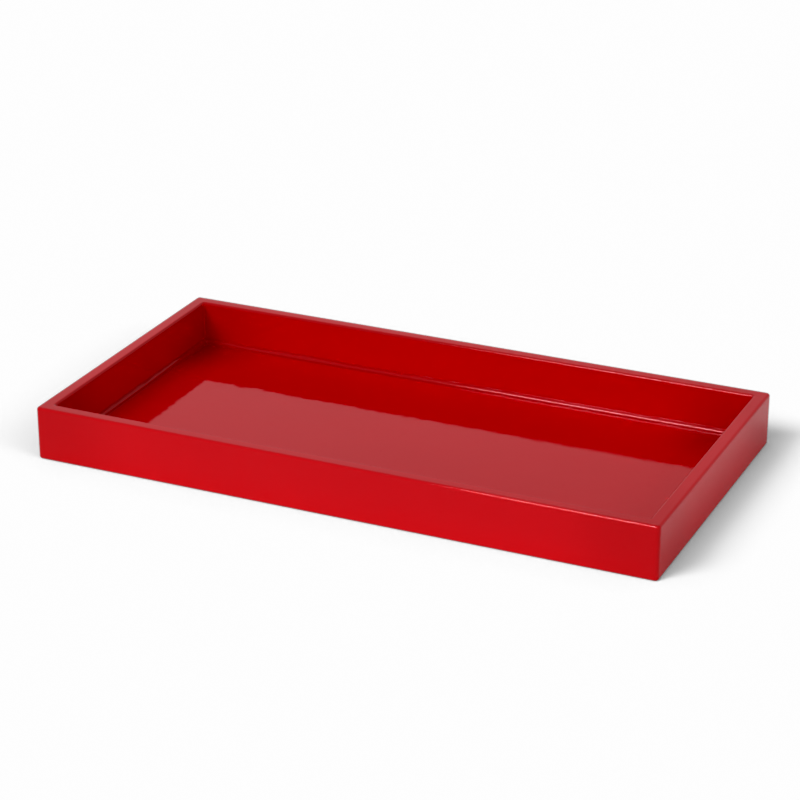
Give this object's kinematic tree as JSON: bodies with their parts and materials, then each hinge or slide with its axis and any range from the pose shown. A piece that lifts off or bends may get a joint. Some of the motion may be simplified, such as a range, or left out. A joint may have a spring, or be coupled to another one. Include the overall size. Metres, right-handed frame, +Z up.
{
  "type": "serving tray",
  "caption": "Rectangular high-gloss lacquered tray: straight mitred walls with soft edges round a flat mirror-like floor.",
  "frame": {"origin": "centre of the underside, in the plane that the tray stands on", "axes": "+X along the tray's length, +Y from the front wall to the back wall, +Z up"},
  "size_m": [0.6, 0.31, 0.051],
  "materials": {
    "lacquered_board": "fibreboard under high-gloss red lacquer",
    "steel": "bright drawn wire"
  },
  "bodies": {
    "root": {"front_wall": "lacquered_board", "back_wall": "lacquered_board", "left_wall": "lacquered_board", "right_wall": "lacquered_board", "base_panel": "lacquered_board", "brad_front_left_lower": "steel", "brad_front_left_upper": "steel", "brad_front_right_lower": "steel", "brad_front_right_upper": "steel", "brad_back_left_lower": "steel", "brad_back_left_upper": "steel", "brad_back_right_lower": "steel", "brad_back_right_upper": "steel"}
  },
  "joints": []
}
